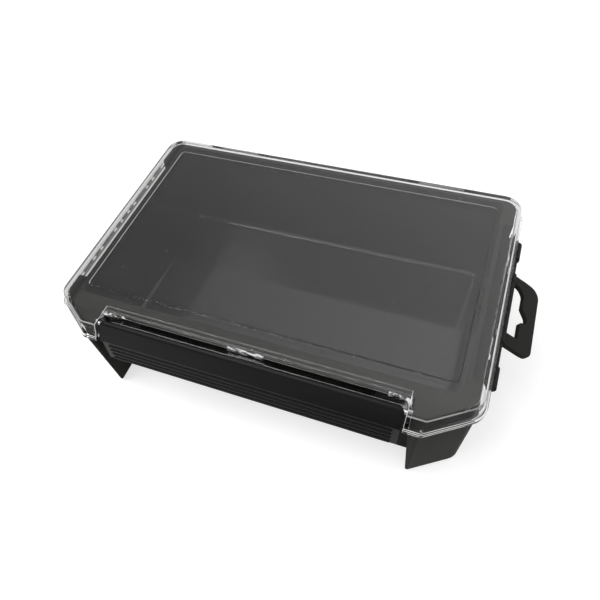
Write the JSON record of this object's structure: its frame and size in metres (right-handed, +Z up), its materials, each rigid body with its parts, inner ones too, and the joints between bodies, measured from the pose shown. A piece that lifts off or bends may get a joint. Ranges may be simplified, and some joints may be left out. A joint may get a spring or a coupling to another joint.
{
  "type": "flat tackle box",
  "caption": "Flat black tackle box with a clear hinged lid, a full-width swing latch at the front and a swing-out hanger loop on one side.",
  "frame": {"origin": "middle of the tray's flat underside, half way between the lid's lips", "axes": "+X along the long side towards the hanger, the latch faces -Y, +Z up through the lid"},
  "size_m": [0.2202, 0.145, 0.06],
  "materials": {
    "tray_black": "glossy moulded black plastic",
    "lid_clear": "clear polished plastic, slightly scuffed",
    "latch_black": "satin moulded black plastic",
    "hanger_black": "fine-grained moulded black plastic",
    "pin_steel": "drawn steel wire"
  },
  "bodies": {
    "tray": {"tray": "tray_black", "hinge_pin_left": "pin_steel", "hinge_pin_right": "pin_steel", "hanger_bracket": "hanger_black", "hanger_rod": "hanger_black"},
    "lid": {"lid": "lid_clear", "latch_pin_left": "pin_steel", "latch_pin_middle": "pin_steel", "latch_pin_right": "pin_steel"},
    "latch": {"latch": "latch_black"},
    "hanger": {"hanger_loop": "hanger_black"}
  },
  "joints": [
    {"name": "lid_hinge", "type": "hinge", "parent": "tray", "child": "lid", "pos_m": [0, 0.0703, 0.0484], "axis": [-1, 0, 0], "range_deg": [0, 175]},
    {"name": "latch_hinge", "type": "hinge", "parent": "lid", "child": "latch", "pos_m": [0, -0.0652, 0.0553], "axis": [-1, 0, 0], "range_deg": [0, 90]},
    {"name": "hanger_hinge", "type": "hinge", "parent": "tray", "child": "hanger", "pos_m": [0.1027, 0.0064, 0.0481], "axis": [0, -1, 0], "range_deg": [-60, 30]}
  ]
}
